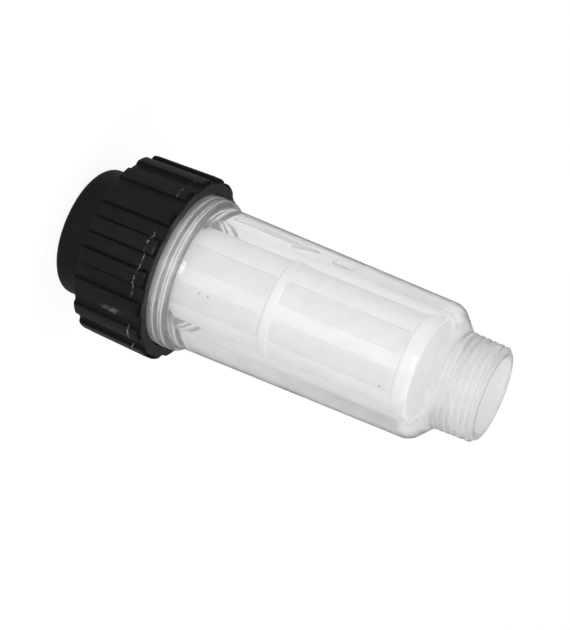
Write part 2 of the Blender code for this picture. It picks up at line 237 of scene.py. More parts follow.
class FinishColours(bpy.types.PropertyGroup):
    """Colours of the finishes."""
    black: colour("Black", "Moulded black of the cap", (0.0054, 0.0056, 0.0064))
    scuff: colour("Scuff", "Whitened plastic where the cap is scuffed", (0.26, 0.255, 0.25))
    clear: colour("Clear", "Tint of the clear bowl", (0.975, 0.973, 0.97))
    # Painted shade: the bowl is painted this darker colour where it is seen edge on
    edge: colour("Edge", "The clear bowl where it is seen edge on", (0.955, 0.955, 0.96))
    # Also the colour of the painted highlight lines on the bead's ridges
    milk_and_highlight: colour("Haze", "The clear bowl where it is milky", (0.89, 0.884, 0.878))
    matt: colour("Matt", "The bowl's matt bore, from its rim to the bead", (0.68, 0.68, 0.685))
    white: colour("White", "Moulded white of the cage", (0.86, 0.86, 0.855))
    gauze: colour("Gauze", "Wires of the mesh", (0.80, 0.795, 0.788))
    # Painted shade: the mesh's gaps are painted this darker colour
    pore_shade: colour("Pore", "Gaps of the mesh", (0.66, 0.656, 0.648))
    dirt: colour("Dirt", "Specks that the mesh has caught", (0.3, 0.28, 0.25))
    rubber: colour("Rubber", "Black rubber of the seal", (0.018, 0.018, 0.019))
    washer: colour("Washer", "Dark grey rubber of the washer", (0.045, 0.045, 0.047))
    floor: colour("Floor", "Pale floor", (0.86, 0.86, 0.86))


class StageSettings(bpy.types.PropertyGroup):
    """Camera, floor and lights."""
    aim_height: length("Aim height", "Height of the middle of the picture on the axis", 61.6 * MM)
    distance: length("Distance", "Camera to the aim", 527.0 * MM)
    tilt: angle("Tilt", "How far the camera looks down", 19.0)
    level_roll: angle("Roll", "Turn of the outlet end, from level to down", 22.55)
    axis_offset: length("Axis offset", "How far above the picture's middle the axis runs", 1.186 * MM)
    focal_pixels: FloatProperty(name="Focal length", description="In pixels of a 630 pixel side",
                                default=2000.0)
    floor_size: length("Floor size", "Side of the floor", 6.0)
    key_power: power("Key", "Power of the soft box above", 0.75)
    fill_power: power("Fill", "Power of the soft box below", 0.88)
    front_power: power("Front", "Power of the soft box at the camera", 0.55)
    glint_power: power("Glint", "Power of the small lamp that gives the glints", 0.3)
    side_power: power("Side", "Power of the soft box at the outlet end", 0.3)


def clear_selection():
    """Back to object mode with nothing selected, so that an operator acts on the new piece alone."""
    if bpy.context.mode != "OBJECT":
        bpy.ops.object.mode_set(mode="OBJECT")
    bpy.ops.object.select_all(action="DESELECT")


def make_active(piece):
    """Select this piece alone."""
    clear_selection()
    piece.select_set(True)
    bpy.context.view_layer.objects.active = piece


def pick(piece, wanted):
    """In edit mode, select the vertices whose place is wanted, with the edges and faces between them."""
    bpy.ops.mesh.select_all(action="DESELECT")
    shape = bmesh.from_edit_mesh(piece.data)
    for vertex in shape.verts:
        vertex.select_set(wanted(vertex.co))
    shape.select_flush(True)
    bmesh.update_edit_mesh(piece.data)


def same_spot(place, corner):
    """Whether a place is a section's corner."""
    return math.hypot(place.x - corner[0], place.z - corner[1]) < 3.0 * TOUCH


def round_corner(piece, before, corner, after, segments):
    """Bevel one corner of a section to the rounding that it names."""
    here = Vector(corner[:2])
    to_before = (Vector(before[:2]) - here).normalized()
    to_after = (Vector(after[:2]) - here).normalized()
    half_angle = to_before.angle(to_after) / 2.0
    pick(piece, lambda place: same_spot(place, corner))
    bpy.ops.mesh.bevel(affect="VERTICES", offset_type="OFFSET",
                       offset=corner[2] / math.tan(half_angle), segments=segments)


def draw_section(name, corners, closed=True, segments=6):
    """Half section of a turned piece, extruded corner by corner in the XZ plane.

    Each corner is (radius, height, rounding). The piece is left in edit mode.
    """
    clear_selection()
    bpy.ops.mesh.primitive_plane_add(size=MM)
    piece = bpy.context.object
    piece.name = piece.data.name = name
    bpy.ops.object.mode_set(mode="EDIT")
    bpy.ops.mesh.select_mode(type="VERT")
    bpy.ops.mesh.select_all(action="SELECT")
    bpy.ops.mesh.merge(type="CENTER")
    bpy.ops.transform.translate(value=(corners[0][0], 0.0, corners[0][1]))
    for start, end in zip(corners, corners[1:]):
        step = (end[0] - start[0], 0.0, end[1] - start[1])
        bpy.ops.mesh.extrude_region_move(TRANSFORM_OT_translate={"value": step})
    if closed:
        pick(piece, lambda place: same_spot(place, corners[0]) or same_spot(place, corners[-1]))
        bpy.ops.mesh.edge_face_add()
    for index, corner in enumerate(corners):
        if corner[2] > 0.0:
            after = corners[(index + 1) % len(corners)]
            round_corner(piece, corners[index - 1], corner, after, segments)
    return piece


def cut_rows(piece, low, high, radius_range, *cuts):
    """Cut the section's straight edge between two heights into even rows, one pass for each cut.

    The short edges of a rounding are left as they are.
    """
    def within(place):
        return (low - TOUCH < place.z < high + TOUCH
                and radius_range[0] - TOUCH < place.x < radius_range[1] + TOUCH)

    for number in cuts:
        bpy.ops.mesh.select_mode(type="EDGE")
        bpy.ops.mesh.select_all(action="DESELECT")
        shape = bmesh.from_edit_mesh(piece.data)
        for edge in shape.edges:
            straight = edge.calc_length() > 0.1 * MM
            edge.select_set(straight and all(within(vertex.co) for vertex in edge.verts))
        bmesh.update_edit_mesh(piece.data)
        bpy.ops.mesh.subdivide(number_cuts=number)
    bpy.ops.mesh.select_mode(type="VERT")


def close_turn(piece):
    """Merge what a full turn has doubled and point the faces outwards."""
    bpy.ops.mesh.select_all(action="SELECT")
    bpy.ops.mesh.remove_doubles(threshold=TOUCH)
    bpy.ops.mesh.normals_make_consistent(inside=False)
    bpy.ops.object.mode_set(mode="OBJECT")


def turn(piece, steps):
    """Spin the section once round the axis."""
    bpy.ops.mesh.select_all(action="SELECT")
    bpy.ops.mesh.spin(steps=steps, angle=FULL_TURN, **AXIS)
    close_turn(piece)


def turn_to(piece, start_angle):
    """Turn a finished shape round the axis and put the turn into its mesh."""
    make_active(piece)
    piece.rotation_euler.z = start_angle
    bpy.ops.object.transform_apply(location=False, rotation=True, scale=False)


def press(piece, wanted):
    """Move vertices straight in or out, to the radius that wanted(radius, angle, height) gives.

    Two weighted Casts do it: one pulls towards a thin core and the other towards a wide tube.
    """
    make_active(piece)
    pulls = {piece.vertex_groups.new(name=name): pull_radius
             for name, pull_radius in (("pull_in", 1.0 * MM), ("pull_out", 60.0 * MM))}
    for vertex in piece.data.vertices:
        radius = math.hypot(vertex.co.x, vertex.co.y)
        target = wanted(radius, math.atan2(vertex.co.y, vertex.co.x), vertex.co.z)
        if abs(target - radius) > 0.1 * TOUCH:
            for group, pull_radius in pulls.items():
                weight = (radius - target) / (radius - pull_radius)
                if weight > 0.0:
                    group.add([vertex.index], weight, "REPLACE")
    for group, pull_radius in pulls.items():
        cast = piece.modifiers.new(group.name, "CAST")
        cast.cast_type = "CYLINDER"
        cast.factor = 1.0
        cast.use_radius_as_size = False
        cast.size = pull_radius
        cast.use_z = False
        cast.vertex_group = group.name
    for name in [modifier.name for modifier in piece.modifiers]:
        bpy.ops.object.modifier_apply(modifier=name)
    piece.vertex_groups.clear()


def combine(piece, other, operation):
    """Boolean of a piece with another, which is used up."""
    make_active(piece)
    faces_before = len(piece.data.polygons)
    boolean = piece.modifiers.new("combine", "BOOLEAN")
    boolean.operation = operation
    boolean.solver = "MANIFOLD"
    boolean.object = other
    bpy.ops.object.modifier_apply(modifier=boolean.name)
    bpy.data.objects.remove(other, do_unlink=True)
    if len(piece.data.polygons) < faces_before / 2:
        raise RuntimeError(f"{piece.name} lost its faces in the boolean")


def shade(piece, degrees):
    """Smooth shading, with edges sharper than this left crisp."""
    make_active(piece)
    bpy.ops.object.shade_smooth_by_angle(angle=math.radians(degrees))


def place_piece(piece, material, body, node):
    """Give the piece its finish and let it stand for its node of the frame."""
    if not piece.data.polygons:
        raise RuntimeError(f"{piece.name} has no faces")
    piece.data.materials.clear()
    piece.data.materials.append(material)
    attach(piece, body)
    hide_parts(node)


def smooth_step(value):
    """0 below 0, 1 above 1, and a smooth rise between."""
    value = min(max(value, 0.0), 1.0)
    return value * value * (3.0 - 2.0 * value)


def tooth(phase, crest_share, root_share):
    """Height of a rounded thread tooth, from 0 at its root to 1 at its crest, by its place in the pitch."""
    away = abs(phase - round(phase))
    slope = min(max((root_share - away) / (root_share - crest_share), 0.0), 1.0)
    return (slope + smooth_step(slope)) / 2.0


def fade(height, low, high, run_out):
    """1 between two heights and 0 past them, with a smooth run-out at each end."""
    return smooth_step((height - low) / run_out) * smooth_step((high - height) / run_out)


class WATERFILTER_OT_bowl(bpy.types.Operator):
    """Model the clear bowl with its two threads, double bead and moulded relief"""
    bl_idname = "mesh.water_filter_bowl"
    bl_label = "Clear Bowl"

    COLUMNS = 216
    THREAD_ROWS = 74
    NECK_ROWS = 88

    def execute(self, context):
        sizes = context.scene.water_filter_bowl
        bowl = draw_section("bowl", self.corners(sizes))
        bead_bottom = sizes.bead_bottom
        rim = bowl_box[0].z
        thread = sizes.thread_radius
        cut_rows(bowl, rim + 0.5 * MM, bead_bottom, (thread, thread), self.THREAD_ROWS)
        neck_top = bowl_box[1].z - sizes.mouth_chamfer
        taper_band = (sizes.neck_root - 0.4 * MM, sizes.neck_root)
        cut_rows(bowl, sizes.neck_bottom, neck_top, taper_band, self.NECK_ROWS)
        turn(bowl, self.COLUMNS)
        self.press_threads(bowl, sizes, rim, neck_top)
        for relief in (self.flow_arrow(sizes), self.relief_box(sizes)):
            combine(bowl, relief, "UNION")
        shade(bowl, 40.0)
        place_piece(bowl, clear_plastic(context.scene.water_filter_colours, sizes), "bowl", "housing")
        return {"FINISHED"}

    def corners(self, sizes):
        """The bowl's section: up its outside from the rim to the mouth, and back down its bore."""
        rim, mouth = bowl_box[0].z, bowl_box[1].z
        rim_chamfer = 0.5 * MM
        thread = sizes.thread_radius
        bead = bowl_box[1].x
        second = bead - sizes.second_bead_inset
        groove = sizes.bead_bottom + sizes.first_bead
        hidden_groove = groove - sizes.second_bead
        bead_top = groove + sizes.second_bead
        flank = 0.65 * MM
        mouth_radius = sizes.neck_root - (mouth - sizes.mouth_chamfer - sizes.neck_bottom) * sizes.neck_taper
        return [
            (thread - rim_chamfer, rim, 0.0),
            (thread, rim + rim_chamfer, 0.0),
            (thread, sizes.bead_bottom, 0.0),
            (second, sizes.bead_bottom, 0.2 * MM),
            (second, hidden_groove - flank, 0.5 * MM),
            (bead - sizes.bead_groove, hidden_groove, 0.3 * MM),
            (bead, hidden_groove + flank, 0.7 * MM),
            (bead, groove - flank, 0.7 * MM),
            (bead - sizes.bead_groove, groove, 0.3 * MM),
            (second, groove + flank, 0.6 * MM),
            (second, bead_top, 0.8 * MM),
            (sizes.tube_radius + 0.35 * MM, bead_top + 0.5 * MM, 0.4 * MM),
            (sizes.tube_radius, sizes.tube_bottom, 2.0 * MM),
            (sizes.shoulder_radius, sizes.shoulder_height, sizes.shoulder_round),
            (sizes.neck_root, sizes.neck_bottom, 0.3 * MM),
            (mouth_radius, mouth - sizes.mouth_chamfer, 0.0),
            (mouth_radius - sizes.mouth_chamfer, mouth, 0.15 * MM),
            (sizes.outlet_radius, mouth, 0.3 * MM),
            (sizes.outlet_radius, sizes.outlet_start, 1.0 * MM),
            (sizes.bore_end_radius, sizes.bore_end, sizes.shoulder_round / 2.0),
            (sizes.bore_radius, rim + rim_chamfer, 0.0),
            (sizes.bore_radius + rim_chamfer, rim, 0.0),
        ]

    def press_threads(self, bowl, sizes, rim, neck_top):
        """Press the two right-hand threads into the bowl's screwed end and its neck."""
        crest_band = 0.02 * MM

        def wanted(radius, turned, height):
            if rim < height < sizes.bead_bottom and abs(radius - sizes.thread_radius) < crest_band:
                phase = height / sizes.thread_pitch - turned / FULL_TURN
                cut = 1.0 - tooth(phase, crest_share=0.08, root_share=0.38)
                return radius - sizes.thread_depth * cut * fade(height, rim + 0.6 * MM,
                                                               sizes.bead_bottom - 0.2 * MM, 1.0 * MM)
            neck = sizes.neck_root - (height - sizes.neck_bottom) * sizes.neck_taper
            if height > sizes.neck_bottom and abs(radius - neck) < crest_band:
                phase = height / sizes.neck_pitch - turned / FULL_TURN
                cut = 1.0 - tooth(phase, crest_share=0.18, root_share=0.46)
                return radius - sizes.neck_depth * cut * fade(height, sizes.neck_bottom + 0.5 * MM,
                                                              neck_top + 0.9 * MM, 1.3 * MM)
            return radius

        press(bowl, wanted)

    def outline_strip(self, sizes, name, corners, segments):
        """A flat closed outline on the tube's upper side, as a raised line, ready to join to the bowl.

        Each corner is (distance round the tube, height, rounding).
        """
        strip = draw_section(name, corners, segments=segments)
        bpy.ops.mesh.select_all(action="SELECT")
        bpy.ops.mesh.edge_face_add()
        bpy.ops.mesh.select_all(action="SELECT")
        bpy.ops.mesh.inset(thickness=sizes.relief_width, use_even_offset=True)
        bpy.ops.mesh.delete(type="FACE")
        bpy.ops.mesh.select_all(action="SELECT")
        bpy.ops.mesh.subdivide(number_cuts=3)
        bpy.ops.mesh.select_all(action="SELECT")
        thickness = 3.0 * sizes.relief_height
        bpy.ops.mesh.extrude_region_move(TRANSFORM_OT_translate={"value": (0.0, -thickness, 0.0)})
        bpy.ops.mesh.select_all(action="SELECT")
        bpy.ops.mesh.normals_make_consistent(inside=False)
        bpy.ops.transform.translate(value=(0.0, thickness - sizes.tube_radius, 0.0))
        bpy.ops.object.mode_set(mode="OBJECT")
        turn_to(strip, sizes.relief_angle + FULL_TURN / 4.0)
        fall = (sizes.tube_radius - sizes.shoulder_radius) / (sizes.shoulder_height - sizes.tube_bottom)
        split = sizes.tube_radius - thickness / 2.0

        def wanted(radius, turned, height):
            skin = sizes.tube_radius - (height - sizes.tube_bottom) * fall
            return skin + sizes.relief_height if radius > split else skin - 2.0 * sizes.relief_height

        press(strip, wanted)
        return strip

    def flow_arrow(self, sizes):
        """Plain arrow that shows the way of the flow."""
        tail, neck, tip = 42.0 * MM, 60.0 * MM, 67.5 * MM
        shaft, head = 1.0 * MM, 2.4 * MM
        corner = 0.25 * MM
        return self.outline_strip(sizes, "flow_arrow", [
            (-shaft, tail, corner), (-shaft, neck, corner), (-head, neck, corner),
            (0.0, tip, corner), (head, neck, corner), (shaft, neck, corner), (shaft, tail, corner),
        ], 3)

    def relief_box(self, sizes):
        """Plain rounded box beyond the arrow."""
        low, high, side, corner = 71.5 * MM, 78.0 * MM, 2.3 * MM, 0.9 * MM
        return self.outline_strip(sizes, "relief_box", [
            (-side, low, corner), (-side, high, corner), (side, high, corner), (side, low, corner),
        ], 4)


class WATERFILTER_OT_cap(bpy.types.Operator):
    """Model the black cap: smooth collar, ribbed nut, inner thread and inlet socket"""
    bl_idname = "mesh.water_filter_cap"
    bl_label = "Ribbed Cap"

    # Columns across half a pitch, from a rib's middle to a groove's middle
    CROWN_COLUMNS = 3
    WALL_COLUMNS = 6
    GROOVE_COLUMNS = 3
    THREAD_ROWS = 94

    def execute(self, context):
        sizes = context.scene.water_filter_cap
        cap = draw_section("ribbed_cap", self.corners(sizes))
        flash = sizes.parting_height
        nut_band = (sizes.groove_radius, sizes.groove_radius + sizes.rib_height)
        cut_rows(cap, flash - 0.3 * MM, flash + 0.3 * MM, nut_band, 1)
        cut_rows(cap, sizes.chamber_floor, sizes.bore_edge_floor,
                 (sizes.thread_radius, sizes.thread_radius), self.THREAD_ROWS)
        self.turn_ribs(cap, sizes)
        turn_to(cap, sizes.rib_angle)
        self.press_ribs(cap, sizes)
        self.press_thread(cap, sizes, context.scene.water_filter_bowl)
        shade(cap, 38.0)
        place_piece(cap, black_plastic(context.scene.water_filter_colours, sizes), "cap", "screw_cap")
        return {"FINISHED"}

    def corners(self, sizes):
        """The cap's section on a rib: up its outside, and back down its bores."""
        face = cap_box[1].z
        crown = sizes.groove_radius + sizes.rib_height
        back = crown - (sizes.parting_height - sizes.collar_length) * math.tan(sizes.draft)
        flash = 0.3 * MM
        return [
            (sizes.collar_radius, 0.0, sizes.collar_round),
            (sizes.collar_radius, sizes.collar_length, 0.25 * MM),
            (back, sizes.collar_length, sizes.rib_back_round),
            (crown - flash * math.tan(sizes.draft), sizes.parting_height - flash, 0.0),
            (crown, sizes.parting_height, 0.0),
            (crown, sizes.parting_height + flash, 0.0),
            (crown, face, sizes.rib_end_round),
            (sizes.bore_edge_radius, face, 0.2 * MM),
            (sizes.bore_edge_radius, sizes.bore_edge_floor, 0.0),
            (sizes.thread_radius, sizes.bore_edge_floor, 0.0),
            (sizes.thread_radius, sizes.chamber_floor, 0.0),
            (sizes.port_radius, sizes.chamber_floor, 0.2 * MM),
            (sizes.port_radius, sizes.web_bottom, 0.2 * MM),
            (sizes.socket_radius, sizes.web_bottom, 0.0),
            (sizes.socket_radius, sizes.socket_chamfer, 0.0),
            (sizes.socket_radius + sizes.socket_chamfer, 0.0, 0.15 * MM),
        ]

    def turn_ribs(self, cap, sizes):
        """Spin one pitch in steps that crowd at the rib's walls, and copy it round."""
        pitch = FULL_TURN / sizes.rib_count
        crown = (sizes.rib_crown, self.CROWN_COLUMNS)
        wall = (sizes.rib_foot - sizes.rib_crown, self.WALL_COLUMNS)
        groove = (pitch / 2.0 - sizes.rib_foot, self.GROOVE_COLUMNS)
        bpy.ops.mesh.select_all(action="SELECT")
        for span, steps in (crown, wall, groove, groove, wall, crown):
            bpy.ops.mesh.spin(steps=steps, angle=span, **AXIS)
        bpy.ops.mesh.select_all(action="SELECT")
        copies = sizes.rib_count - 1
        bpy.ops.mesh.spin(steps=copies, dupli=True, angle=copies * pitch, **AXIS)
        close_turn(cap)

    def press_ribs(self, cap, sizes):
        """Press the grooves in between the ribs, and let the parting line stand out unevenly."""
        face, back = cap_box[1].z, sizes.collar_length
        pitch = FULL_TURN / sizes.rib_count
        crown_fall = 0.05

        def lift(turned):
            away = abs((turned - sizes.rib_angle + pitch / 2.0) % pitch - pitch / 2.0)
            if away < sizes.rib_crown:
                return 1.0 - crown_fall * (away / sizes.rib_crown) ** 2
            wall = max((sizes.rib_foot - away) / (sizes.rib_foot - sizes.rib_crown), 0.0)
            return (1.0 - crown_fall) * (0.7 * wall + 0.3 * smooth_step(wall))

        def groove_line(height):
            radius = sizes.groove_radius - max(sizes.parting_height - height, 0.0) * math.tan(sizes.draft)
            into_round = max(sizes.groove_round - min(face - height, height - back), 0.0)
            return radius - sizes.groove_round + math.sqrt(
                max(sizes.groove_round ** 2 - into_round ** 2, 0.0))

        def flash(turned, height):
            if abs(height - sizes.parting_height) > 0.1 * MM:
                return 0.0
            ring = Vector((math.cos(turned), math.sin(turned), 0.0)) * 14.0
            return sizes.flash_height * (0.35 + max(noise.noise(ring), 0.0) * 1.6)

        def wanted(radius, turned, height):
            if radius < sizes.groove_radius - sizes.rib_height or height < back - TOUCH:
                return radius
            groove = groove_line(height)
            return groove + lift(turned) * (radius - groove) + flash(turned, height)

        press(cap, wanted)

    def press_thread(self, cap, sizes, bowl_sizes):
        """Press out the inner thread, which fills the gaps of the bowl's thread."""
        def wanted(radius, turned, height):
            inside = sizes.chamber_floor + TOUCH < height < sizes.bore_edge_floor - TOUCH
            if not inside or abs(radius - sizes.thread_radius) > 0.01 * MM:
                return radius
            phase = height / bowl_sizes.thread_pitch - turned / FULL_TURN + 0.5
            rise = tooth(phase, crest_share=0.06, root_share=0.32) * fade(
                height, bowl_box[0].z + 1.0 * MM, sizes.bore_edge_floor - 0.2 * MM, 1.0 * MM)
            return radius - sizes.thread_depth * rise

        press(cap, wanted)


class WATERFILTER_OT_cage(bpy.types.Operator):
    """Model the white strainer cage: flange, two rows of windows, rings and closed end"""
    bl_idname = "mesh.water_filter_cage"
    bl_label = "Strainer Cage"

    COLUMNS = 168

    def execute(self, context):
        sizes = context.scene.water_filter_strainer
        cage = draw_section("strainer_cage", self.corners(sizes), closed=False, segments=4)
        turn(cage, self.COLUMNS)
        combine(cage, self.window_cutters(sizes), "DIFFERENCE")
        shade(cage, 35.0)
        place_piece(cage, white_plastic(context.scene.water_filter_colours), "cartridge", "filter_cage")
        return {"FINISHED"}

    def corners(self, sizes):
        """The cage's section: from the axis over its outside to the flange, and back up its bore."""
        bottom, top = cage_box[0].z, cage_box[1].z
        flange_top = bottom + sizes.flange_thickness
        middle_top = sizes.middle_ring + sizes.middle_length
        middle = sizes.cage_radius + sizes.middle_step
        end = sizes.cage_radius + sizes.end_step
        soft = 0.3 * MM
        return [
            (0.0, top, 0.0),
            (sizes.cage_radius, top, soft),
            (end, top - sizes.end_step, soft),
            (end, sizes.end_ring + sizes.end_step, soft),
            (sizes.cage_radius, sizes.end_ring, soft),
            (sizes.cage_radius, middle_top, soft),
            (middle, middle_top - sizes.middle_step, soft),
            (middle, sizes.middle_ring + sizes.middle_step, soft),
            (sizes.cage_radius, sizes.middle_ring, soft),
            (sizes.cage_radius, flange_top, 0.6 * MM),
            (cage_box[1].x, flange_top, soft),
            (cage_box[1].x, bottom, soft),
            (sizes.lip_radius, bottom, soft),
            (sizes.lip_radius, flange_top + sizes.lip_length, 0.15 * MM),
            (sizes.cage_bore, flange_top + sizes.lip_length, 0.0),
            (sizes.cage_bore, top - sizes.end_plate, 0.4 * MM),
            (0.0, top - sizes.end_plate, 0.0),
        ]

    def window_cutters(self, sizes):
        """Rounded blocks for the two rows of windows, modelled once and copied round."""
        inner, outer = 9.0 * MM, 15.0 * MM
        half_width = sizes.cage_radius * math.sin(sizes.window_width / 2.0)
        row = sizes.middle_ring - sizes.first_row
        spread = sizes.rib_width + sizes.window_width
        clear_selection()
        bpy.ops.mesh.primitive_cube_add(size=1.0)
        cutter = bpy.context.object
        cutter.name = cutter.data.name = "window_cutters"
        bpy.ops.object.mode_set(mode="EDIT")
        bpy.ops.transform.resize(value=(outer - inner, 2.0 * half_width, row))
        bpy.ops.transform.translate(value=((outer + inner) / 2.0, 0.0, sizes.first_row + row / 2.0))
        bpy.ops.mesh.select_mode(type="EDGE")
        bpy.ops.mesh.select_all(action="DESELECT")
        shape = bmesh.from_edit_mesh(cutter.data)
        for edge in shape.edges:
            along = edge.verts[1].co - edge.verts[0].co
            edge.select_set(abs(along.x) > 0.5 * along.length)
        bmesh.update_edit_mesh(cutter.data)
        bpy.ops.mesh.bevel(offset=sizes.window_round, offset_type="OFFSET", segments=6, affect="EDGES")
        bpy.ops.mesh.select_mode(type="VERT")
        bpy.ops.mesh.select_all(action="SELECT")
        rise = sizes.end_ring - row - sizes.first_row
        bpy.ops.mesh.duplicate_move(TRANSFORM_OT_translate={"value": (0.0, 0.0, rise)})
        bpy.ops.mesh.select_all(action="SELECT")
        bpy.ops.mesh.spin(steps=1, dupli=True, angle=spread, **AXIS)
        bpy.ops.mesh.select_all(action="SELECT")
        copies = sizes.pairs - 1
        bpy.ops.mesh.spin(steps=copies, dupli=True, angle=copies * FULL_TURN / sizes.pairs, **AXIS)
        bpy.ops.mesh.select_all(action="SELECT")
        bpy.ops.mesh.normals_make_consistent(inside=False)
        bpy.ops.object.mode_set(mode="OBJECT")
        # The copies go clockwise, so the first window stands past the narrow rib and the second before it
        turn_to(cutter, sizes.rib_angle + spread / 2.0)
        return cutter


class WATERFILTER_OT_mesh(bpy.types.Operator):
    """Model the woven strainer mesh that lines the cage"""
    bl_idname = "mesh.water_filter_mesh"
    bl_label = "Strainer Mesh"

    def execute(self, context):
        sizes = context.scene.water_filter_strainer
        low, high = mesh_box[0].z, mesh_box[1].z
        outside = sizes.mesh_radius
        inside = outside - sizes.mesh_wall
        wire_pitch = FULL_TURN * outside / sizes.wire_count
        rings = 2 * round((high - low) / wire_pitch / 2.0)
        sleeve = draw_section("strainer_mesh", [
            (outside, low, 0.0), (outside, high, 0.0), (inside, high, 0.0), (inside, low, 0.0)])
        cut_rows(sleeve, low, high, (outside, outside), rings // 2 - 1, 1, 1)
        turn(sleeve, 2 * sizes.wire_count)

        def wanted(radius, turned, height):
            if radius < outside - 0.1 * sizes.mesh_wall:
                return radius
            across = math.cos(sizes.wire_count * turned)
            along = math.cos(FULL_TURN * rings * (height - low) / (high - low))
            return radius - sizes.wire_relief * (2.0 - across - along) / 4.0

        press(sleeve, wanted)
        shade(sleeve, 60.0)
        material = gauze(context.scene.water_filter_colours, outside, sizes.wire_count, wire_pitch)
        place_piece(sleeve, material, "cartridge", "mesh_sleeve")
        return {"FINISHED"}


class WATERFILTER_OT_seals(bpy.types.Operator):
    """Model the two rubber rings: the bowl's seal and the socket's washer"""
    bl_idname = "mesh.water_filter_seals"
    bl_label = "Rubber Rings"

    COLUMNS = 128

    def execute(self, context):
        sizes = context.scene.water_filter_seals
        colours = context.scene.water_filter_colours
        seal = self.ring("bowl_seal", seal_box, sizes.seal_inside, sizes.seal_round)
        place_piece(seal, rubber("seal_rubber", colours.rubber), "cartridge", "cap_seal")
        washer = self.ring("socket_washer", washer_box, sizes.washer_inside, sizes.washer_round)
        place_piece(washer, rubber("washer_rubber", colours.washer), "cap", "inlet_washer")
        return {"FINISHED"}

    def ring(self, name, box, inside, rounding):
        """A flat ring with rounded edges, as high and as wide as its node."""
        low, high, outside = box[0].z, box[1].z, box[1].x
        ring = draw_section(name, [
            (outside, low, rounding), (outside, high, rounding),
            (inside, high, rounding), (inside, low, rounding)], segments=5)
        turn(ring, self.COLUMNS)
        shade(ring, 40.0)
        return ring


